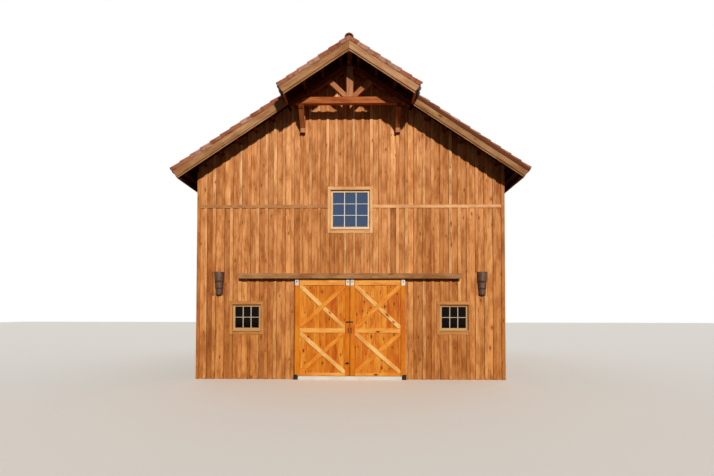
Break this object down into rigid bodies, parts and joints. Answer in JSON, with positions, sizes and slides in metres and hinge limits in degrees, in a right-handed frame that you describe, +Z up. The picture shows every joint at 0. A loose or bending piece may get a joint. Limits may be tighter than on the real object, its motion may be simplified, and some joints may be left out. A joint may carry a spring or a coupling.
{
  "type": "timber barn",
  "caption": "Gabled board-and-batten timber barn with a clay tile roof, a truss-held gable hood and a pair of sliding doors.",
  "frame": {"origin": "on the ground under the middle of the walls' plan, at the underside of the floor slab", "axes": "+Z up, +Y from the front gable with the doors to the back, +X to the right of someone who faces the doors"},
  "size_m": [10.3418, 12.833, 9.6012],
  "materials": {
    "concrete": "broom finished concrete",
    "siding_wood": "stained sawn cedar boards",
    "frame_timber": "planed timber",
    "hood_timber": "stained timber",
    "roof_plank": "stained planks",
    "rake_board": "stained sawn boards",
    "trim_board": "stained sawn boards",
    "window_wood": "stained planed boards",
    "track_board_wood": "weathered boards",
    "door_pine": "oiled knotty pine",
    "clay_tile": "unglazed fired clay",
    "window_glass": "clear float glass",
    "galvanised_steel": "galvanised",
    "black_iron": "black powder coat",
    "lantern_metal": "dark weathered metal"
  },
  "bodies": {
    "barn": {"floor_slab": "concrete", "door_sill": "concrete", "front_wall_left": "siding_wood", "front_wall_right": "siding_wood", "front_wall_gable": "siding_wood", "back_wall": "siding_wood", "left_wall": "siding_wood", "right_wall": "siding_wood", "inner_posts": "frame_timber", "inner_tie_beams": "frame_timber", "inner_rafters": "frame_timber", "inner_king_posts": "frame_timber", "ridge_beam": "frame_timber", "left_purlins": "frame_timber", "right_purlins": "frame_timber", "left_roof_deck": "roof_plank", "right_roof_deck": "roof_plank", "left_roof_tiles": "clay_tile", "right_roof_tiles": "clay_tile", "ridge_tiles": "clay_tile", "front_rake_boards": "rake_board", "back_rake_boards": "rake_board", "eave_boards": "rake_board", "hood_rake_boards": "rake_board", "hood_eave_boards": "rake_board", "hood_top_chords": "hood_timber", "hood_tie_beam": "hood_timber", "hood_king_post": "hood_timber", "hood_struts": "hood_timber", "bracket_posts": "hood_timber", "bracket_beams": "hood_timber", "bracket_braces": "hood_timber", "corner_boards": "trim_board", "siding_bands": "trim_board", "loft_window_frame": "window_wood", "loft_window_glass": "window_glass", "front_window_frames": "window_wood", "front_window_glass": "window_glass", "side_window_frames": "window_wood", "side_window_glass": "window_glass", "back_window_frames": "window_wood", "back_window_glass": "window_glass", "track_board": "track_board_wood", "door_track": "galvanised_steel", "track_cover": "track_board_wood", "door_guides": "black_iron", "lanterns": "lantern_metal"},
    "left_door": {"left_door_panel": "door_pine", "left_door_frame": "door_pine", "left_door_hangers": "galvanised_steel", "left_door_fittings": "black_iron"},
    "right_door": {"right_door_panel": "door_pine", "right_door_frame": "door_pine", "right_door_hangers": "galvanised_steel", "right_door_fittings": "black_iron"}
  },
  "joints": [
    {"name": "left_door_slide", "type": "slide", "parent": "barn", "child": "left_door", "axis": [-1, 0, 0], "range_m": [0, 1.6]},
    {"name": "right_door_slide", "type": "slide", "parent": "barn", "child": "right_door", "axis": [1, 0, 0], "range_m": [0, 1.6]}
  ]
}
